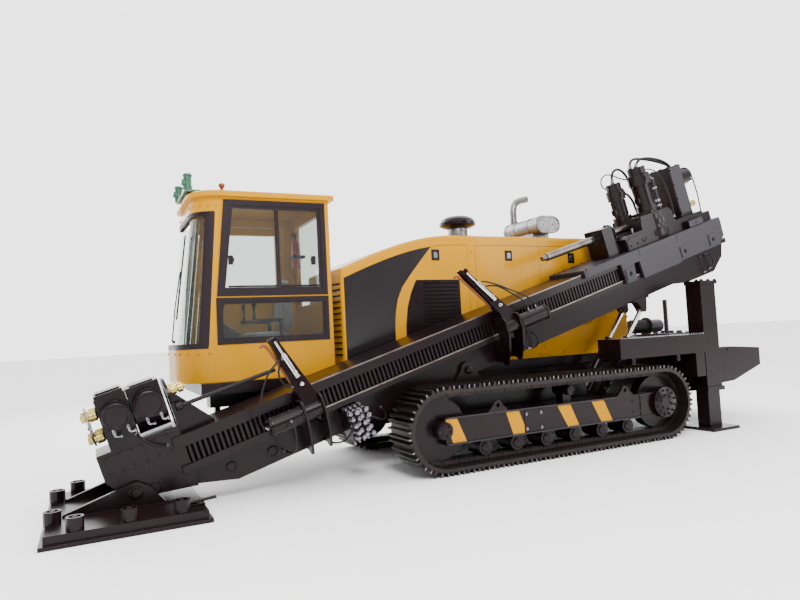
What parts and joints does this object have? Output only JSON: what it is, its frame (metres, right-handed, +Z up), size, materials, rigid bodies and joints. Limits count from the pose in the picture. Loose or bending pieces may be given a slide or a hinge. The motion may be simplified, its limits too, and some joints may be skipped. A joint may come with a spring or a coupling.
{
  "type": "horizontal directional drill",
  "caption": "Crawler-mounted horizontal directional drill with inclined rack drill frame, sliding power head, vises, anchor plate, operator cab, hood and rear stabiliser legs.",
  "frame": {"origin": "on the ground, under the middle of the machine's overall length and width", "axes": "+X to the rear of the machine, +Y to the cab-door side, away from the drill frame, +Z up"},
  "size_m": [8.55, 2.5, 3.411],
  "materials": {
    "black_paint": "satin black enamel",
    "yellow_paint": "semi-gloss yellow enamel",
    "grey_paint": "satin grey enamel",
    "track_steel": "bare rolled steel, dusty",
    "bright_steel": "ground or plated steel",
    "window_glass": "tempered cab glass",
    "seat_cloth": "woven seat cover",
    "lamp_green": "translucent lens"
  },
  "bodies": {
    "root": {"chassis_frame": "black_paint", "deck_frame": "black_paint", "track_near": "track_steel", "track_far": "track_steel", "track_frame_near": "black_paint", "track_frame_far": "black_paint", "engine_block": "grey_paint", "hood_shell": "yellow_paint", "hood_inlay": "black_paint", "hood_side_front": "yellow_paint", "hood_side_middle": "yellow_paint", "hood_side_rear": "yellow_paint", "radiator_grille": "black_paint", "silencer": "bright_steel", "pre_cleaner": "black_paint", "cab_floor": "yellow_paint", "cab_front": "yellow_paint", "windscreen": "window_glass", "cab_side_near": "yellow_paint", "side_glass_upper": "window_glass", "side_glass_lower": "window_glass", "cab_side_far": "yellow_paint", "cab_rear": "yellow_paint", "rear_glass": "window_glass", "cab_roof": "yellow_paint", "seat": "seat_cloth", "console": "grey_paint", "work_lamps": "lamp_green", "rear_box": "black_paint", "step_box": "black_paint", "mud_pump": "grey_paint", "leg_tube_near": "black_paint", "leg_tube_far": "black_paint"},
    "boom": {"drill_frame": "black_paint", "vise_front": "black_paint", "arm_drive_1": "black_paint", "arm_drive_2": "black_paint", "valve_block": "bright_steel"},
    "anchor": {"anchor_plate": "black_paint"},
    "breakout_vise": {"vise_rear": "black_paint"},
    "arm_1": {"rod_arm_1": "black_paint"},
    "arm_2": {"rod_arm_2": "black_paint"},
    "carriage_body": {"carriage": "grey_paint", "power_head": "black_paint"},
    "spindle_body": {"spindle": "bright_steel"},
    "barrel_near": {"lift_barrel_near": "black_paint"},
    "barrel_far": {"lift_barrel_far": "black_paint"},
    "rod_near": {"lift_rod_near": "bright_steel"},
    "rod_far": {"lift_rod_far": "bright_steel"},
    "leg_near_body": {"leg_near": "black_paint"},
    "leg_far_body": {"leg_far": "black_paint"},
    "cab_door_body": {"cab_door": "yellow_paint", "door_glass": "window_glass"},
    "hood_door_1_body": {"hood_door_1": "yellow_paint"},
    "hood_door_2_body": {"hood_door_2": "yellow_paint"}
  },
  "joints": [
    {"name": "boom_tilt", "type": "hinge", "parent": "root", "child": "boom", "pos_m": [-0.355, -0.45, 0.945], "axis": [0, 1, 0], "range_deg": [0, 12]},
    {"name": "anchor_hinge", "type": "hinge", "parent": "boom", "child": "anchor", "pos_m": [-3.615, -0.45, 0.205], "axis": [0, 1, 0], "range_deg": [-8, 6]},
    {"name": "vise_turn", "type": "hinge", "parent": "boom", "child": "breakout_vise", "pos_m": [-3.48548, -0.45, 0.8625], "axis": [0.9588, 0, 0.284], "range_deg": [-20, 20]},
    {"name": "arm_1_swing", "type": "hinge", "parent": "boom", "child": "arm_1", "pos_m": [-2.15312, -0.875, 0.73047], "axis": [0.9588, 0, 0.284], "range_deg": [0, 95]},
    {"name": "arm_2_swing", "type": "hinge", "parent": "boom", "child": "arm_2", "pos_m": [0.04258, -0.875, 1.38087], "axis": [0.9588, 0, 0.284], "range_deg": [0, 95]},
    {"name": "carriage_slide", "type": "slide", "parent": "boom", "child": "carriage_body", "axis": [0.9588, 0, 0.284], "range_m": [-4.2, 0]},
    {"name": "spindle_turn", "type": "hinge", "parent": "carriage_body", "child": "spindle_body", "pos_m": [1.60441, -0.45, 2.37019], "axis": [0.9588, 0, 0.284], "continuous": true},
    {"name": "lift_near_swing", "type": "hinge", "parent": "root", "child": "barrel_near", "pos_m": [1.495, -0.6, 0.52], "axis": [0, 1, 0], "range_deg": [0, 24.43]},
    {"name": "lift_near_stroke", "type": "slide", "parent": "barrel_near", "child": "rod_near", "axis": [0.6029, 0, 0.7978], "range_m": [-0.3221, 0]},
    {"name": "lift_far_swing", "type": "hinge", "parent": "root", "child": "barrel_far", "pos_m": [1.495, -0.3, 0.52], "axis": [0, 1, 0], "range_deg": [0, 24.43]},
    {"name": "lift_far_stroke", "type": "slide", "parent": "barrel_far", "child": "rod_far", "axis": [0.6029, 0, 0.7978], "range_m": [-0.3221, 0]},
    {"name": "leg_near_slide", "type": "slide", "parent": "root", "child": "leg_near_body", "axis": [0, 0, 1], "range_m": [0, 0.4]},
    {"name": "leg_far_slide", "type": "slide", "parent": "root", "child": "leg_far_body", "axis": [0, 0, 1], "range_m": [0, 0.4]},
    {"name": "cab_door_hinge", "type": "hinge", "parent": "root", "child": "cab_door_body", "pos_m": [-1.788, 1.218, 1.08], "axis": [0, 0, -1], "range_deg": [0, 100]},
    {"name": "hood_door_1_hinge", "type": "hinge", "parent": "root", "child": "hood_door_1_body", "pos_m": [0.262, 1.038, 1.12], "axis": [0, 0, -1], "range_deg": [0, 100]},
    {"name": "hood_door_2_hinge", "type": "hinge", "parent": "root", "child": "hood_door_2_body", "pos_m": [1.562, 1.038, 1.12], "axis": [0, 0, -1], "range_deg": [0, 100]}
  ],
  "couplings": [
    {"joint": "lift_near_swing", "follows": "boom_tilt", "ratio": 2.0313},
    {"joint": "lift_near_stroke", "follows": "boom_tilt", "m_per_rad": -1.5354},
    {"joint": "lift_far_swing", "follows": "boom_tilt", "ratio": 2.0313},
    {"joint": "lift_far_stroke", "follows": "boom_tilt", "m_per_rad": -1.5354}
  ]
}
